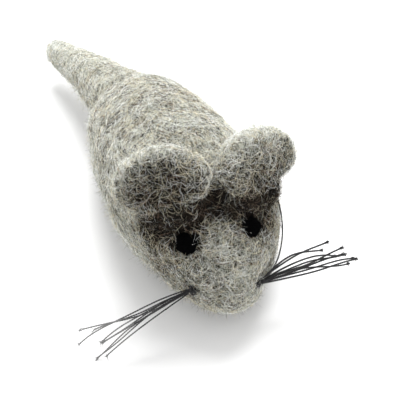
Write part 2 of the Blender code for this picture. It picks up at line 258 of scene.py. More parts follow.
def tail_centre_line():
    """The tail's middle at each step, from inside the rump to its tip: (distance, place, heading)."""
    start, length = TAIL_PROFILE[0][0] * MM, TAIL_PROFILE[-1][0] * MM
    steps = 90
    stride = (length - start) / steps

    def heading_at(distance):
        along = max(0.0, distance / length)
        yaw = TAIL_YAW_START + (TAIL_YAW_END - TAIL_YAW_START) * along
        pitch = TAIL_PITCH_START + (TAIL_PITCH_END - TAIL_PITCH_START) * along
        return Vector((-math.sin(yaw), math.cos(yaw), math.tan(pitch))).normalized()

    place = Vector(JOINTS["tail_swing"]["pos_m"]) + heading_at(start) * start
    line = []
    for i in range(steps + 1):
        distance = start + stride * i
        heading = heading_at(distance)
        sag = TAIL_SAG * min(max(distance / TAIL_ROOT_LENGTH, 0), 1)
        line.append((distance, place + sag, heading))
        place += heading * stride
    return line


def tail_rings(sides=48):
    distances, radii = zip(*TAIL_PROFILE)
    rings = []
    for distance, centre, heading in tail_centre_line():
        radius = np.interp(distance / MM, distances, radii) * MM
        across = heading.cross(Vector((0, 0, 1))).normalized()
        up = across.cross(heading)
        rings.append([centre + across * radius * math.cos(2 * math.pi * i / sides)
                      + up * radius * math.sin(2 * math.pi * i / sides) for i in range(sides)])
    return rings


# ---------------------------------------------------------------- meshes

def new_mesh_object(name, vertices, faces):
    mesh = bpy.data.meshes.new(name)
    mesh.from_pydata([tuple(v) for v in vertices], [], [tuple(int(i) for i in f) for f in faces])
    mesh.validate()
    obj = bpy.data.objects.new(name, mesh)
    bpy.context.scene.collection.objects.link(obj)
    return obj


def triangle_mesh(name, vertices, triangles):
    mesh = bpy.data.meshes.new(name)
    mesh.vertices.add(len(vertices))
    mesh.vertices.foreach_set("co", np.asarray(vertices, np.float32).ravel())
    mesh.loops.add(len(triangles) * 3)
    mesh.loops.foreach_set("vertex_index", np.asarray(triangles, np.int32).ravel())
    mesh.polygons.add(len(triangles))
    mesh.polygons.foreach_set("loop_start", np.arange(0, len(triangles) * 3, 3, dtype=np.int32))
    mesh.update(calc_edges=True)
    mesh.shade_smooth()
    obj = bpy.data.objects.new(name, mesh)
    bpy.context.scene.collection.objects.link(obj)
    return obj


def loft(rings):
    """A closed shape through rings of points, capped at both ends: (vertices, faces)."""
    sides = len(rings[0])
    vertices = [point for ring in rings for point in ring]
    faces = []
    for r in range(len(rings) - 1):
        for i in range(sides):
            j = (i + 1) % sides
            faces.append((r * sides + j, r * sides + i, (r + 1) * sides + i, (r + 1) * sides + j))
    faces.append(range(sides))
    faces.append(reversed(range((len(rings) - 1) * sides, len(rings) * sides)))
    return vertices, [tuple(face) for face in faces]


def ball(columns, rows):
    """A unit ball: (vertices, faces)."""
    vertices, faces = [(0, 0, -1)], []
    for r in range(1, rows):
        polar = math.pi * r / rows
        for c in range(columns):
            turn = 2 * math.pi * c / columns
            vertices.append((math.sin(polar) * math.cos(turn), math.sin(polar) * math.sin(turn),
                             -math.cos(polar)))
    vertices.append((0, 0, 1))
    last = len(vertices) - 1
    for c in range(columns):
        d = (c + 1) % columns
        faces.append((0, 1 + d, 1 + c))
        faces.append((last, last - columns + c, last - columns + d))
        for r in range(rows - 2):
            a, b = 1 + r * columns + c, 1 + r * columns + d
            faces.append((a, b, b + columns, a + columns))
    return np.array(vertices), faces


def overlaid(*shapes):
    """Several (vertices, faces) shapes as one."""
    vertices, faces = [], []
    for more_vertices, more_faces in shapes:
        faces += [tuple(i + len(vertices) for i in face) for face in more_faces]
        vertices += [tuple(point) for point in more_vertices]
    return vertices, faces


def joined(parts):
    """Several (vertices, triangles) arrays as one."""
    vertices, triangles, at = [], [], 0
    for v, t in parts:
        vertices.append(v)
        triangles.append(t + at)
        at += len(v)
    return np.concatenate(vertices), np.concatenate(triangles)


def unit(vectors):
    return vectors / np.maximum(np.linalg.norm(vectors, axis=-1, keepdims=True), 1e-12)


def sweep(path, radii, sides=5):
    """A closed tube along path, (points, 3), as (vertices, triangles)."""
    path = np.asarray(path, float)
    along = unit(np.gradient(path, axis=0))
    side = np.cross(along[0], (0.31, 0.17, 0.94))
    sides_at = []
    for heading in along:
        side = unit(side - (side @ heading) * heading)
        sides_at.append(side)
    sides_at = np.array(sides_at)
    ups = np.cross(along, sides_at)
    angles = np.arange(sides) * 2 * math.pi / sides
    ring = (sides_at[:, None] * np.cos(angles)[None, :, None]
            + ups[:, None] * np.sin(angles)[None, :, None])
    vertices = (path[:, None] + ring * np.asarray(radii)[:, None, None]).reshape(-1, 3)
    triangles = []
    for r in range(len(path) - 1):
        for i in range(sides):
            a, b = r * sides + i, r * sides + (i + 1) % sides
            triangles += [(a, b, b + sides), (a, b + sides, a + sides)]
    first, last = len(vertices), len(vertices) + 1
    vertices = np.concatenate([vertices, path[:1], path[-1:]])
    for i in range(sides):
        j = (i + 1) % sides
        end = (len(path) - 1) * sides
        triangles += [(first, j, i), (last, end + i, end + j)]
    return vertices, np.array(triangles)


def positions(mesh):
    flat = np.empty(len(mesh.vertices) * 3, np.float32)
    mesh.vertices.foreach_get("co", flat)
    return flat.reshape(-1, 3).astype(float)


def normals(mesh):
    flat = np.empty(len(mesh.vertices) * 3, np.float32)
    mesh.vertices.foreach_get("normal", flat)
    return flat.reshape(-1, 3).astype(float)


def set_positions(mesh, places):
    mesh.vertices.foreach_set("co", np.asarray(places, np.float32).ravel())
    mesh.update()


def remeshed(obj, voxel, smoothing):
    """obj with an even mesh of small quads, and rounded by smoothing, within its vertex group if any."""
    if voxel:
        remesh = obj.modifiers.new("even", "REMESH")
        remesh.mode = "VOXEL"
        remesh.voxel_size = voxel
    smooth = obj.modifiers.new("smooth", "SMOOTH")
    smooth.factor = 0.5
    smooth.iterations = smoothing
    if obj.vertex_groups:
        smooth.vertex_group = obj.vertex_groups[0].name
    depsgraph = bpy.context.evaluated_depsgraph_get()
    mesh = bpy.data.meshes.new_from_object(obj.evaluated_get(depsgraph))
    obj.modifiers.clear()
    obj.data = mesh
    mesh.shade_smooth()
    return obj


def wrinkle(places, size, seed):
    """Smooth noise from -1 to 1 at each place, with features of the given size."""
    shift = Vector((seed * 7.3, seed * 3.1, seed * 5.7))
    return np.array([noise.noise(Vector(p) / size + shift) for p in places])


def lump(obj, waves, seed):
    """Moves the skin in and out along its normals by several sizes of noise."""
    places = positions(obj.data)
    outward = normals(obj.data)
    lift = sum(height * wrinkle(places, size, seed + i) for i, (size, height) in enumerate(waves))
    places += outward * lift[:, None]
    set_positions(obj.data, places)


def dent(obj, centre, radius, depth, way):
    """Presses a soft round hollow into the skin along way."""
    places = positions(obj.data)
    gap = np.linalg.norm(places - np.array(centre), axis=1) / radius
    press = depth * np.exp(-gap**2)
    set_positions(obj.data, places + np.array(way) * press[:, None])


# ---------------------------------------------------------------- wool tones

def ramp(value, start, length):
    """0 up to start, then rising evenly to 1 over length."""
    return np.clip((value - start) / length, 0, 1)


def falloff(places, centre, radius):
    """1 at centre, fading smoothly to 0 at about twice the radius."""
    gap = np.linalg.norm(places - np.array(centre), axis=1) / radius
    return np.exp(-gap**2)


def darkness_at(places):
    """How dark the wool is painted: 0 on the back, 1 on dark wool, up to 2 with painted shade."""
    places = np.asarray(places, float)
    along = (places[:, 1] - HEAD_ORIGIN.y) / BODY_LENGTH
    dark = 0.70 - 0.54 * ramp(along, -0.02, 0.14)  # a dark face, and pale from behind the ears
    # Partly painted light: the tail grows paler towards its tip, for its washed-out, brightly lit look.
    dark -= 0.75 * ramp(along, 0.62, 0.75)  # paler still towards the tail's tip
    # Painted light: a paler chin, for the light that the white floor throws up under it.
    dark -= 0.42 * ramp(-along, 0.17, 0.09)  # a pale chin
    for patch, weight in WOOL_PATCHES:
        dark += weight * falloff(places, in_head(*(v * MM for v in patch)), 6 * MM)
    # Painted shade round each eye, centred above and behind it, where the ears' shadow falls.
    for side in (-1, 1):
        dark += 0.95 * falloff(places, eye_place(side, 2.0 * MM, 2.0 * MM), 4.2 * MM)
    # Painted shadow in the folds under the ears' lips.
    for brow, weight in ((RIGHT_BROW, 2.5), (LEFT_BROW, 1.7)):
        near = [falloff(places, in_head(*(v * MM for v in point)), 3.0 * MM) for point in brow]
        dark += weight * np.max(near, axis=0)
    patches = (wrinkle(places, 9 * MM, 41) * 0.14 + wrinkle(places, 3.2 * MM, 47) * 0.30
               + wrinkle(places, 0.8 * MM, 53) * 0.85)
    return dark + patches


# ---------------------------------------------------------------- fibres

class Skin:
    """A felted surface that fibres grow on."""

    def __init__(self, obj):
        mesh = obj.data
        mesh.calc_loop_triangles()
        self.places = positions(mesh)
        self.normals = normals(mesh)
        corners = np.empty(len(mesh.loop_triangles) * 3, np.int32)
        mesh.loop_triangles.foreach_get("vertices", corners)
        self.corners = corners.reshape(-1, 3)
        a, b, c = (self.places[self.corners[:, i]] for i in range(3))
        self.areas = np.linalg.norm(np.cross(b - a, c - a), axis=1) / 2
        self.tree = BVHTree.FromPolygons(self.places.tolist(), self.corners.tolist())

    def scatter(self, count, rng, keep=None):
        """count random places on the surface, denser where keep, a value for each vertex, is high."""
        weight = self.areas.copy()
        if keep is not None:
            weight *= keep[self.corners].mean(axis=1)
        chosen = self.corners[rng.choice(len(weight), count, p=weight / weight.sum())]
        u, v = rng.random(count), rng.random(count)
        over = u + v > 1
        u[over], v[over] = 1 - u[over], 1 - v[over]
        share = np.stack([1 - u - v, u, v], axis=1)[:, :, None]
        return (self.places[chosen] * share).sum(1), (self.normals[chosen] * share).sum(1)

    def creep(self, starts, ways, stride):
        """Places that lie on the surface a stride on from starts, and the normals there."""
        places, outward = [], []
        for start, way, step in zip(starts, ways, stride):
            place, normal, _, _ = self.tree.find_nearest(Vector(start + way * step))
            places.append(place)
            outward.append(normal)
        return np.array(places), np.array(outward)


def lying_fibres(skin, count, rng, length, height, grain=None, curl=0.3, steps=4, keep=None):
    """Fibres that follow the surface: their places, (count, steps + 1, 3), and the normals."""
    places, outward = skin.scatter(count, rng, keep)
    heading = rng.normal(size=(count, 3))
    if grain is not None:
        heading = heading * 0.75 + np.array(grain) * rng.choice([-1, 1], count)[:, None]
    lengths = rng.uniform(*length, count)
    path, path_normals = [places], [unit(outward)]
    for _ in range(steps):
        normal = path_normals[-1]
        heading = unit(heading - (heading * normal).sum(1)[:, None] * normal)
        place, outward = skin.creep(path[-1], heading, lengths / steps)
        side = np.cross(normal, heading)
        heading = heading + side * rng.normal(scale=curl, size=count)[:, None]
        path.append(place)
        path_normals.append(outward)
    path, path_normals = np.stack(path, 1), np.stack(path_normals, 1)
    rise = rng.uniform(*height, count)[:, None] * np.sin(np.linspace(0.1, 0.9, steps + 1) * np.pi)
    rise += rng.normal(scale=0.06 * MM, size=rise.shape)
    sink = np.zeros(steps + 1)
    sink[0] = sink[-1] = -0.08 * MM  # both ends go into the felt
    return path + path_normals * (rise + sink)[:, :, None], path_normals


def standing_fibres(skin, count, rng, length, lean, curl=0.5, steps=4, keep=None):
    """Fibres that leave the surface at a slant and curl."""
    places, outward = skin.scatter(count, rng, keep)
    outward = unit(outward)
    heading = unit(outward + unit(rng.normal(size=(count, 3))) * lean)
    below = (heading * outward).sum(1) < 0.15
    heading[below] = unit(heading[below] + outward[below])
    lengths = rng.uniform(*length, count)
    path = [places - outward * 0.15 * MM]
    bend = unit(rng.normal(size=(count, 3))) * curl
    for _ in range(steps):
        path.append(path[-1] + heading * (lengths / steps)[:, None])
        heading = unit(heading + bend / steps * 2)
    path = np.stack(path, 1)
    return path, np.repeat(outward[:, None], steps + 1, 1)


def fibre_bundle(path, path_normals, radius):
    """Three-sided fibres, thick in the middle and pointed at both ends: (vertices, triangles)."""
    count, stops, _ = path.shape
    path[..., 2] = np.maximum(path[..., 2], 0.05 * MM)
    along = unit(np.gradient(path, axis=1))
    side = unit(np.cross(along, path_normals))
    up = unit(np.cross(side, along))
    swell = np.sin(np.linspace(0.12, 0.88, stops) * np.pi)[None, :, None]
    width = radius[:, None, None] * swell
    rings = []
    for turn in (math.pi / 2, math.pi * 7 / 6, math.pi * 11 / 6):
        rings.append(path + (side * math.cos(turn) + up * math.sin(turn)) * width)
    rings = np.stack(rings, 2)[:, 1:-1]
    inner = stops - 2
    vertices = np.concatenate(
        [rings.reshape(count, inner * 3, 3), path[:, :1], path[:, -1:]], axis=1
    )
    per_fibre = inner * 3 + 2
    faces = []
    for side_index in range(3):
        other = (side_index + 1) % 3
        faces.append((inner * 3, other, side_index))
        last = (inner - 1) * 3
        faces.append((inner * 3 + 1, last + side_index, last + other))
        for ring in range(inner - 1):
            a, b = ring * 3 + side_index, ring * 3 + other
            faces.append((a, b, b + 3))
            faces.append((a, b + 3, a + 3))
    faces = np.array(faces)[None] + (np.arange(count) * per_fibre)[:, None, None]
    return vertices.reshape(-1, 3), faces.reshape(-1, 3)


def coat(ground, rng, counts, keep=None, grain=(0, 1, 0), size=1.0):
    """A piece's wool: darker fibres in the felt, fine fuzz, and paler strays that arch above.

    Each layer is (places, normals, radii, how much darker than the felt its fibres are). The nap's
    extra darkness is partly painted shade, for the shadow deep in the felt between the fibres.
    """
    nap, fuzz, strays = counts
    layers = (
        (*lying_fibres(ground, nap, rng, (2.0 * MM * size, 5.5 * MM * size),
                       (0.02 * MM, 0.35 * MM), grain=grain, keep=keep), (0.022, 0.050), 0.55),
        (*standing_fibres(ground, fuzz, rng, (1.0 * MM, 3.6 * MM), lean=1.9, curl=2.3, steps=6,
                          keep=keep), (0.013, 0.026), -0.05),
        (*lying_fibres(ground, strays, rng, (3.0 * MM * size, 8.0 * MM * size),
                       (0.4 * MM, 1.0 * MM), curl=0.4, steps=6, keep=keep), (0.024, 0.048), -0.62),
    )
    return [(path, ways, rng.uniform(*radii, len(path)) * MM, darker)
            for path, ways, radii, darker in layers]


def tone_of(path, rng, shade):
    """The tone, as a place in TONES, of each fibre: a draw between light and dark wool."""
    dark = np.clip(darkness_at(path[:, path.shape[1] // 2]) + shade, -1, 2)
    odds = np.stack([np.interp(dark, (-1, 0, 1, 2), share) for share in WOOL_MIXES.T], axis=1)
    bounds = np.cumsum(odds, axis=1)
    return (rng.random(len(path))[:, None] * bounds[:, -1:] > bounds).sum(axis=1)


def grow_wool(prefix, layers, rng, place, shade=lambda places: 0.0):
    """One fibre piece for each tone. layers come from coat; place attaches a piece to the body or bakes
    its transform.
    """
    # shade adds painted shade and light to each fibre's darkness.
    kinds = [tone_of(path, rng, shade(path[:, path.shape[1] // 2]) + darker)
             for path, _, _, darker in layers]
    for index, tone in enumerate(TONES):
        bundles = []
        for (path, path_normals, radius, _), kind in zip(layers, kinds):
            chosen = kind == index
            if chosen.any():
                bundles.append(fibre_bundle(path[chosen], path_normals[chosen], radius[chosen]))
        if bundles:
            fibres = triangle_mesh(f"{prefix}_{tone}", *joined(bundles))
            fibres.data.materials.append(wool[tone])
            place(fibres)


# ---------------------------------------------------------------- materials

def node(tree, kind, **inputs):
    """A new node with its inputs set to values or linked to other nodes' sockets."""
    made = tree.nodes.new(kind)
    for name, value in inputs.items():
        socket = made.inputs[name.replace("_", " ")]
        if isinstance(value, bpy.types.NodeSocket):
            tree.links.new(value, socket)
        else:
            socket.default_value = value
    return made


def new_material(name, colour, roughness, sheen=0.0):
    material = bpy.data.materials.new(name)
    material.use_nodes = True
    shader = material.node_tree.nodes["Principled BSDF"]
    shader.inputs["Base Color"].default_value = (*colour, 1)
    shader.inputs["Roughness"].default_value = roughness
    shader.inputs["Specular IOR Level"].default_value = 0.2
    shader.inputs["Sheen Weight"].default_value = sheen
    shader.inputs["Sheen Roughness"].default_value = 0.6
    return material, material.node_tree, shader


def add_bump(tree, shader, height, strength, distance):
    bump = node(tree, "ShaderNodeBump", Height=height, Strength=strength, Distance=distance)
    tree.links.new(bump.outputs["Normal"], shader.inputs["Normal"])


def rest_place(tree):
    """Where a point of the skin is at rest, from the attribute that store_rest leaves."""
    place = tree.nodes.new("ShaderNodeAttribute")
    place.attribute_name = "rest_place"
    return place.outputs["Vector"]


def streaks(tree, place, turn, scale, stretch=5):
    """Fibre-like streaks: noise stretched along one direction, from 0 to 1."""
    mapping = node(tree, "ShaderNodeMapping", Vector=place, Rotation=turn,
                   Scale=(scale, scale / stretch, scale))
    field = node(tree, "ShaderNodeTexNoise", Vector=mapping.outputs["Vector"], Scale=1.0,
                 Detail=3.0, Roughness=0.6)
    return field.outputs["Fac"]


def felt_material(name, pale, light, dark, black):
    """Heathered felt: streaks of light and dark wool in three directions over soft patches."""
    material, tree, shader = new_material(name, light, 0.95, 0.05)
    place = rest_place(tree)
    crossing = None
    for turn, scale in (((0.3, 0.2, 0.5), 2600), ((1.4, 0.6, 2.2), 3200), ((0.7, 1.9, 1.2), 2900)):
        field = streaks(tree, place, turn, scale)
        if crossing is None:
            crossing = field
            continue
        brighter = tree.nodes.new("ShaderNodeMath")
        brighter.operation = "MAXIMUM"
        tree.links.new(crossing, brighter.inputs[0])
        tree.links.new(field, brighter.inputs[1])
        crossing = brighter.outputs["Value"]
    # The stored darkness carries painted shade and light as well as the wool's tone, so the ramp below
    # paints them into the felt's colour.
    tone = tree.nodes.new("ShaderNodeAttribute")
    tone.attribute_name = "darkness"
    # Fibres that cross shift the stored darkness a little towards light or dark.
    spread = node(tree, "ShaderNodeMapRange", Value=crossing)
    spread.inputs["From Min"].default_value = 0.42
    spread.inputs["From Max"].default_value = 0.72
    spread.inputs["To Min"].default_value = 0.43
    spread.inputs["To Max"].default_value = 0.23
    total = tree.nodes.new("ShaderNodeMath")
    total.operation = "MULTIPLY_ADD"
    total.use_clamp = True
    tree.links.new(tone.outputs["Fac"], total.inputs[0])
    total.inputs[1].default_value = 1 / 3
    tree.links.new(spread.outputs["Result"], total.inputs[2])
    ramp = tree.nodes.new("ShaderNodeValToRGB")
    ramp.color_ramp.elements[0].color = (*pale, 1)
    ramp.color_ramp.elements[1].position = 0.75
    ramp.color_ramp.elements[1].color = (*black, 1)
    ramp.color_ramp.elements.new(0.35).color = (*light, 1)
    ramp.color_ramp.elements.new(0.53).color = (*dark, 1)
    tree.links.new(total.outputs["Value"], ramp.inputs["Fac"])
    tree.links.new(ramp.outputs["Color"], shader.inputs["Base Color"])
    add_bump(tree, shader, crossing, 0.6, 0.25 * MM)
    return material


def add_fine_bump(tree, shader, scale, strength):
    coordinates = tree.nodes.new("ShaderNodeTexCoord")
    field = node(tree, "ShaderNodeTexNoise", Vector=coordinates.outputs["Object"], Scale=scale)
    add_bump(tree, shader, field.outputs["Fac"], strength, 0.02 * MM)


def wool_fibre_material(name, colour, specular=0.1):
    material, tree, shader = new_material(name, colour, 0.85)
    shader.inputs["Specular IOR Level"].default_value = specular
    add_fine_bump(tree, shader, 9000.0, 0.2)
    return material


def thread_material(name, colour):
    """Twisted thread: the plies are geometry, and fine noise stands for its filaments."""
    material, tree, shader = new_material(name, colour, 0.55, 0.1)
    add_fine_bump(tree, shader, 12000.0, 0.3)
    return material


def store_rest(obj, darkness):
    """Keeps each vertex's place at rest and its darkness, so that the felt's pattern rides with it."""
    mesh = obj.data
    place = mesh.attributes.new("rest_place", "FLOAT_VECTOR", "POINT")
    place.data.foreach_set("vector", positions(mesh).astype(np.float32).ravel())
    tone = mesh.attributes.new("darkness", "FLOAT", "POINT")
    tone.data.foreach_set("value", darkness.astype(np.float32))


# ---------------------------------------------------------------- camera, light, floor

def add_camera():
    """Looks down at the mouse from in front and a little to its right, level to within 3 degrees."""
    azimuth, elevation = math.radians(-25.56), math.radians(47.62)
    roll = math.radians(-3.02)
    distance = 151.82 * MM
    target = Vector((1.67, -3.31, 14)) * MM
    back = Vector((math.sin(azimuth) * math.cos(elevation),
                   -math.cos(azimuth) * math.cos(elevation), math.sin(elevation)))
    level = Vector((math.cos(azimuth), math.sin(azimuth), 0))
    upright = back.cross(level)
    right = level * math.cos(roll) + upright * math.sin(roll)
    up = back.cross(right)
    data = bpy.data.cameras.new("camera")
    data.sensor_width = 36
    data.lens = data.sensor_width * 1.57145
    data.clip_start = 0.01
    camera = bpy.data.objects.new("camera", data)
    bpy.context.scene.collection.objects.link(camera)
    camera.rotation_mode = "QUATERNION"
    camera.rotation_quaternion = Matrix((right, up, back)).transposed().to_quaternion()
    camera.location = target + back * distance
    bpy.context.scene.camera = camera


def add_area(name, place, size, power):
    """A round soft light that shines at the mouse."""
    data = bpy.data.lights.new(name, "AREA")
    data.shape = "DISK"
    data.size = size
    data.energy = power
    light = bpy.data.objects.new(name, data)
    bpy.context.scene.collection.objects.link(light)
    light.location = place
    light.rotation_mode = "QUATERNION"
    light.rotation_quaternion = (Vector((0, 0, 0.015)) - Vector(place)).to_track_quat("-Z", "Y")


def add_studio():
    scene = bpy.context.scene
    scene.view_settings.view_transform = "Standard"
    world = bpy.data.worlds.new("studio")
    scene.world = world
    world.use_nodes = True
    background = world.node_tree.nodes["Background"]
    background.inputs["Color"].default_value = (1, 1, 1, 1)
    background.inputs["Strength"].default_value = 1.13
    add_area("key", (0.20, 0.27, 0.52), 0.45, 5.5)
    half = 1.5
    corners = [(-half, -half, 0), (half, -half, 0), (half, half, 0), (-half, half, 0)]
    floor = new_mesh_object("floor", corners, [(0, 1, 2, 3)])
    material, _, _ = new_material("pale_floor", (0.79, 0.79, 0.79), 0.9)
    floor.data.materials.append(material)


# ---------------------------------------------------------------- pieces

def side_name(side):
    return "left" if side > 0 else "right"


def body_and_tail():
    """The body and tail as one skin, with a soft valley between them."""
    rings = 60
    eased = [(1 - math.cos(math.pi * i / (rings - 1))) / 2 for i in range(rings)]
    shape = overlaid(loft([section(station, 72) for station in eased]), loft(tail_rings()))
    whole = remeshed(new_mesh_object("body_and_tail", *shape), SKIN_VOXEL, 4)
    near = falloff(positions(whole.data)[:, 1:2], [SEAM], 5 * MM)
    valley = whole.vertex_groups.new(name="valley")
    for index in np.flatnonzero(near > 0.02):
        valley.add([int(index)], float(near[index]), "REPLACE")
    remeshed(whole, None, 40)
    lump(whole, ((16 * MM, 0.7 * MM), (6 * MM, 0.35 * MM), (2.2 * MM, 0.16 * MM),
                 (0.9 * MM, 0.07 * MM)), 3)
    for centre, radius, depth, way in BODY_DENTS:
        dent(whole, Vector(centre) * MM, radius * MM, depth * MM, Vector(way).normalized())
    for side in (-1, 1):
        inward = HEAD_TURN @ Vector((-side * 0.35, 0.55, -0.75))
        dent(whole, eye_place(side), 3.6 * MM, 0.7 * MM, inward)
    for point in RIGHT_BROW:
        dent(whole, in_head(*(v * MM for v in point)), 3 * MM, 0.5 * MM,
             HEAD_TURN @ Vector((0.3, 0.6, -0.7)))
    middle_of_muzzle = in_head(0, -10 * MM, 13 * MM)
    for knot in KNOTS:
        dent(whole, knot, 1.8 * MM, 1.0 * MM, (middle_of_muzzle - knot).normalized())
    places = positions(whole.data)
    places[:, 2] = np.maximum(places[:, 2], 0.0)
    set_positions(whole.data, places)
    store_rest(whole, darkness_at(places))
    whole.data.materials.append(felt_skin)
    return whole


def part_of(whole, name, way):
    """One side of the seam, -1 for the body and 1 for the tail. Its rim dives under the other."""
    piece = bpy.data.objects.new(name, whole.data.copy())
    bpy.context.scene.collection.objects.link(piece)
    places = positions(piece.data)
    past = np.clip((SEAM - places[:, 1]) * way / SEAM_OVERLAP, 0, 1)
    set_positions(piece.data, places - normals(piece.data) * (past * RIM_DIVE)[:, None])
    shape = bmesh.new()
    shape.from_mesh(piece.data)
    bmesh.ops.bisect_plane(shape, geom=shape.verts[:] + shape.edges[:] + shape.faces[:],
                           plane_co=(0, SEAM - way * SEAM_OVERLAP, 0), plane_no=(0, -way, 0),
                           clear_outer=True)
    bmesh.ops.holes_fill(shape, edges=[edge for edge in shape.edges if edge.is_boundary], sides=0)
    shape.to_mesh(piece.data)
    shape.free()
    return piece


def handed_over(places):
    """0 on the body and 1 on the tail, with a soft step at the seam."""
    return np.clip((places[:, 1] - SEAM) / (2 * MM) + 0.5, 0, 1)


def on_body(piece):
    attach(piece, "body")


def build_body(whole, rng):
    """The body's skin under short, dark wool on the head and longer, paler wool on the back."""
    skin = part_of(whole, "felt_body_skin", -1)
    on_body(skin)
    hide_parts("felt_body")
    ground = Skin(whole)
    away = 1 - handed_over(ground.places)
    # No wool under the belly, on the eyes or round the knots.
    clear = np.clip(ground.places[:, 2] / (1.5 * MM), 0.0, 1)
    for knot in KNOTS:
        clear *= 1 - falloff(ground.places, knot, 2.2 * MM)
    for side in (-1, 1):
        clear *= 1 - 0.93 * falloff(ground.places, eye_place(side), 3.0 * MM)
    face = np.clip(1 - (ground.places[:, 1] - HEAD_ORIGIN.y + 2 * MM) / (12 * MM), 0, 1)
    head_coat = coat(ground, rng, (14000, 10000, 6500), clear * face, size=0.75)
    grow_wool("head_wool", head_coat, rng, on_body)
    back_coat = coat(ground, rng, (20000, 14000, 2800), clear * (1 - face) * away)
    grow_wool("body_wool", back_coat, rng, on_body)


def build_tail(whole, rng):
    """The tail's skin and wool."""
    skin = part_of(whole, "tail_skin", 1)
    joint = Vector(JOINTS["tail_swing"]["pos_m"])
    start, end = joint - Vector((0, 3 * MM, 0)), joint + Vector((0, 9 * MM, 0))

    def place(piece):
        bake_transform(piece)
        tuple(start)
        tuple(end)

    place(skin)
    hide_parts("tail")
    ground = Skin(whole)
    tail_coat = coat(ground, rng, (9000, 6000, 700), handed_over(ground.places), size=0.8)
    grow_wool("tail_wool", tail_coat, rng, place)


def lip_share(x):
    """How far down the ear's lower lip hangs at x, -1 to 1 across the ear."""
    return EAR_LIP[0] - EAR_LIP[1] * x


def ear_shape():
    """The ear in its own frame: a thick dished pad that runs down into a broad root."""
    pad, faces = ball(96, 60)
    x, y, z = pad.T
    z = np.where(z < 0, z * lip_share(x), z)
    inward = np.maximum(0.0, 1 - (x**2 + z**2) / 0.80)
    dish = np.where(y < 0, EAR_DISH_DEPTH * inward**0.8, 0)
    pad = np.stack([x * EAR_HALF_WIDTH, y * EAR_HALF_THICKNESS + dish,
                    z * EAR_HALF_HEIGHT + EAR_CENTRE_HEIGHT], axis=1)
    root, root_faces = ball(48, 24)
    root = root * np.array(EAR_ROOT_SIZE) * MM + np.array(EAR_ROOT_PLACE) * MM
    return overlaid((pad, faces), (root, root_faces))


def ear_shade(local, side):
    """Extra darkness of an ear's wool, from places in the ear's own frame.

    All of it is painted light and shade: the right ear darkest in its dish and lighter near the
    top, the left one lighter at the top and darker low down, and both with painted shadow under the lip.
    """
    height = (local[:, 2] - EAR_CENTRE_HEIGHT) / EAR_HALF_HEIGHT
    front = np.clip(-local[:, 1] / (2 * MM) + 0.3, 0, 1)
    dish = np.clip(1.25 - (local[:, 0] / (9.2 * MM)) ** 2 - (height / 0.8) ** 2, 0, 1)
    lip = -lip_share(np.clip(local[:, 0] / EAR_HALF_WIDTH, -1, 1))
    under = np.clip((lip - height) / 0.15 + 0.8, 0, 1)
    if side < 0:
        return 1.1 * front * dish - 0.3 * np.clip(height + 0.1, 0, 1) + under
    return 0.25 * front * dish - 0.75 * height + 0.05 + 0.5 * under


def build_ear(side, rng):
    """An ear's skin and wool."""
    word = side_name(side)
    joint = Vector(JOINTS[f"ear_{word}_fold"]["pos_m"])
    turn = HEAD_TURN @ Euler((-EAR_TILT, side * EAR_ROLL, side * EAR_YAW), "YXZ").to_matrix()
    up = turn @ Vector((0, 0, 1))
    start, end = joint - up * 1.5 * MM, joint + up * 4 * MM

    def shade(places):
        return ear_shade((places - np.array(joint)) @ np.array(turn), side)

    def place(piece):
        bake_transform(piece)
        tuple(start)
        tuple(end)

    ear = remeshed(new_mesh_object(f"ear_{word}_skin", *ear_shape()), 0.45 * MM, 8)
    set_positions(ear.data, positions(ear.data) @ np.array(turn).T + np.array(joint))
    lump(ear, ((8 * MM, 0.7 * MM), (3 * MM, 0.35 * MM), (1.2 * MM, 0.12 * MM)), 20 + side)
    places = positions(ear.data)
    # The ear's painted shade and light go into its felt as well as its wool.
    store_rest(ear, darkness_at(places) + shade(places))
    ear.data.materials.append(felt_skin)
    ground = Skin(ear)
    place(ear)
    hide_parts(f"ear_{word}")
    layers = coat(ground, rng, (5200, 6000, 1700), grain=None, size=0.65)
    grow_wool(f"ear_{word}_wool", layers, rng, place, shade)


def build_eye(side, rng):
    """A small, squarish black wool ball with its own nap and a little fuzz."""
    word = side_name(side)
    turn = HEAD_TURN @ Euler((-EYE_TILT, 0, side * EYE_YAW), "XYZ").to_matrix()
    shape, faces = ball(80, 48)
    square = np.sign(shape) * np.abs(shape) ** EYE_SQUARENESS
    square *= np.array([EYE_RADIUS, EYE_HALF_THICKNESS, EYE_RADIUS])
    places = square @ np.array(turn).T + np.array(eye_place(side))
    eye = new_mesh_object(f"eye_{word}_wool", places, faces)
    eye.data.shade_smooth()
    lump(eye, ((1.6 * MM, 0.18 * MM), (0.6 * MM, 0.10 * MM)), 30 + side)
    eye.data.materials.append(eye_wool)
    ground = Skin(eye)
    nap, nap_normals = lying_fibres(ground, 900, rng, (0.8 * MM, 2.0 * MM), (0.02 * MM, 0.25 * MM))
    fuzz, fuzz_normals = standing_fibres(ground, 160, rng, (0.4 * MM, 1.1 * MM), lean=1.0)
    path = np.concatenate([nap, fuzz])
    path_normals = np.concatenate([nap_normals, fuzz_normals])
    radii = rng.uniform(0.015 * MM, 0.035 * MM, len(path))
    fibres = triangle_mesh(f"eye_{word}_fibres", *fibre_bundle(path, path_normals, radii))
    fibres.data.materials.append(eye_wool)
    for piece in (eye, fibres):
        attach(piece, "body")
    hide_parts(f"eye_{word}")


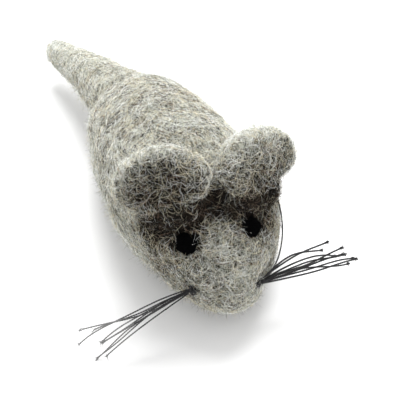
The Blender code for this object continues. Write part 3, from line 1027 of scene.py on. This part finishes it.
def twisted(route, radius, frayed=True, rng=None, bead=0.0):
    """Two-ply thread along a route. A frayed one parts and tufts at the far end; a bead thickens it."""
    route = np.array([tuple(p) for p in route])
    steps = np.linalg.norm(np.diff(route, axis=0), axis=1)
    distance = np.concatenate([[0], np.cumsum(steps)])
    length = distance[-1]
    stops = np.linspace(0, length, int(length / THREAD_TWIST * 8))
    path = np.stack([np.interp(stops, distance, route[:, k]) for k in range(3)], axis=1)
    along = unit(np.gradient(path, axis=0))
    side = unit(np.cross(along, (0.2, 0.1, 0.97)))
    up = np.cross(along, side)
    parts = []
    for ply in range(2):
        turn = (stops / THREAD_TWIST * 2 * math.pi + ply * math.pi)[:, None]
        wide = radius * 0.5 * np.ones_like(turn)
        if frayed:
            wide += ramp(stops[:, None] / length, FRAY_START, 0.035) * radius * 1.1
        place = path + (side * np.cos(turn) + up * np.sin(turn)) * wide
        thin = 0.58 * radius * np.clip((length - stops) / (0.6 * MM) + 0.45, 0, 1)
        thin *= 1 + bead * np.exp(-((length - stops - 0.5 * MM) / (0.4 * MM)) ** 2)
        parts.append(sweep(place, thin))
    if frayed:
        for _ in range(5):
            way = unit(along[-1] * 1.6 + rng.normal(size=3) * 0.8)
            bend = rng.normal(size=3) * 0.5
            base = path[-1] - along[-1] * 0.3 * MM
            reach = rng.uniform(0.5 * MM, 1.1 * MM)
            curve = [base + way * reach * u + bend * reach * u * u for u in np.linspace(0, 1, 4)]
            parts.append(sweep(curve, [0.06 * MM, 0.05 * MM, 0.04 * MM, 0.02 * MM], 3))
    return joined(parts)


def whisker_route(root, tip, bow, rng):
    """A thread's way from the knot: it leaves with the bundle, bows, and wavers a little."""
    points = []
    waver = rng.normal(scale=0.18 * MM, size=(2, 3))
    for k in range(9):
        u = k / 8
        point = root.lerp(tip, u)
        point.z += bow * 4 * u * (1 - u)
        point += (Vector(waver[0]) * math.sin(2 * math.pi * u)
                  + Vector(waver[1]) * math.sin(3 * math.pi * u) * u)
        points.append(point)
    return smooth_route(points, 3)


def tuft_frame(side):
    """A tuft's knot, and the ways outward, backward and up from it."""
    knot = Vector(JOINTS[f"whiskers_{side_name(side)}_sweep"]["pos_m"])
    return knot, HEAD_TURN @ Vector((side, 0, 0)), HEAD_TURN @ Vector((0, 1, 0)), Vector((0, 0, 1))


def build_whiskers(side, rng):
    """The nine threads of a tuft, each in three stretches of colour from its knot to its end."""
    word = side_name(side)
    knot, out, back, up = tuft_frame(side)
    tips = WHISKERS_LEFT if side > 0 else WHISKERS_RIGHT
    bead = 0.6 if side > 0 else 0.0
    for i, (reach, behind, rise, bow) in enumerate(tips):
        row, column = divmod(i, 3)
        root = (knot + out * KNOT_RADIUS + back * (column - 1) * ROOT_PITCH * ROOT_CROWDING
                + up * (1 - row) * ROOT_PITCH * ROOT_CROWDING)
        tip = knot + (out * reach + back * behind + up * rise) * MM
        route = whisker_route(root, tip, bow * MM, rng)
        vertices, triangles = twisted(route, THREAD_RADIUS[word], rng=rng, bead=bead)
        thread = triangle_mesh(f"whisker_{word}_thread_{i + 1}", vertices, triangles)
        # On the right tuft, the two paler outer stretches are painted light, for thin ends washed out by
        # the light.
        for material in threads[word]:
            thread.data.materials.append(material)
        gap = np.linalg.norm(vertices[triangles[:, 0]] - np.array(knot), axis=1)
        stretch = np.clip((gap / (reach * MM) * 3).astype(np.int32), 0, 2)
        thread.data.polygons.foreach_set("material_index", stretch)
        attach(thread, f"whiskers_{word}")
        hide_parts(f"whisker_{word}_{i + 1}")


def build_knot(side):
    """A loop of thread wound round a short core."""
    word = side_name(side)
    knot, out, back, up = tuft_frame(side)
    stops = 90
    angles = np.linspace(0, 2 * math.pi, stops)
    ring = 0.70 * MM + 0.32 * MM * np.cos(5 * angles)
    loop = np.stack([ring * np.cos(2 * angles), ring * np.sin(2 * angles),
                     0.42 * MM * np.sin(5 * angles)], axis=1)
    axes = np.array([back, up, out])
    winding = sweep(loop @ axes + np.array(knot), np.full(stops, 0.17 * MM), 6)
    core_path = np.array(knot) + np.linspace(-0.6 * MM, 0.9 * MM, 7)[:, None] * np.array(out)
    core = sweep(core_path, np.array([0.1, 0.45, 0.6, 0.62, 0.55, 0.45, 0.2]) * MM, 10)
    lump_of_thread = triangle_mesh(f"whisker_{word}_knot_thread", *joined([winding, core]))
    lump_of_thread.data.materials.append(black_thread)
    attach(lump_of_thread, f"whiskers_{word}")
    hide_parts(f"whisker_knot_{word}")


def build_cheek_stitch():
    route = smooth_route([in_head(*(v * MM for v in point)) for point in CHEEK_STITCH], 6)
    stitch = triangle_mesh("cheek_stitch", *twisted(route, STITCH_RADIUS, frayed=False))
    stitch.data.materials.append(black_thread)
    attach(stitch, "body")
    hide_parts("cheek_thread")


def dress_inner_pieces():
    """The core wool and the threads in the muzzle stay as CAD solids with their own materials."""
    core_wool = wool_fibre_material("core_wool", (0.62, 0.60, 0.54))
    for name, material in (("core_wool", core_wool), ("whisker_threads_in_muzzle", black_thread)):
        materials = frame["nodes"][name].data.materials
        materials.clear()
        materials.append(material)


add_camera()
add_studio()
felt_skin = felt_material("felt_skin", (0.68, 0.69, 0.65), (0.50, 0.51, 0.44),
                          (0.036, 0.030, 0.023), (0.005, 0.004, 0.003))
wool = {tone: wool_fibre_material(f"wool_{tone}", colour) for tone, colour in TONES.items()}
eye_wool = wool_fibre_material("eye_wool", (0.0015, 0.0015, 0.0018), specular=0.02)
black_thread = thread_material("black_thread", (0.008, 0.008, 0.009))
# Painted light: paler thread for the right tuft's thin ends, washed out by the bright light.
painted_light_thread = thread_material("painted_light_thread", (0.045, 0.045, 0.046))
grey_thread = thread_material("grey_thread", (0.16, 0.16, 0.158))
threads = {"left": (black_thread, black_thread, black_thread),
           "right": (black_thread, painted_light_thread, grey_thread)}
random = np.random.default_rng(7)
toy = body_and_tail()
build_body(toy, random)
build_tail(toy, random)
bpy.data.objects.remove(toy)
for mirror in (1, -1):
    build_ear(mirror, random)
    build_eye(mirror, random)
    build_whiskers(mirror, random)
    build_knot(mirror)
build_cheek_stitch()
dress_inner_pieces()
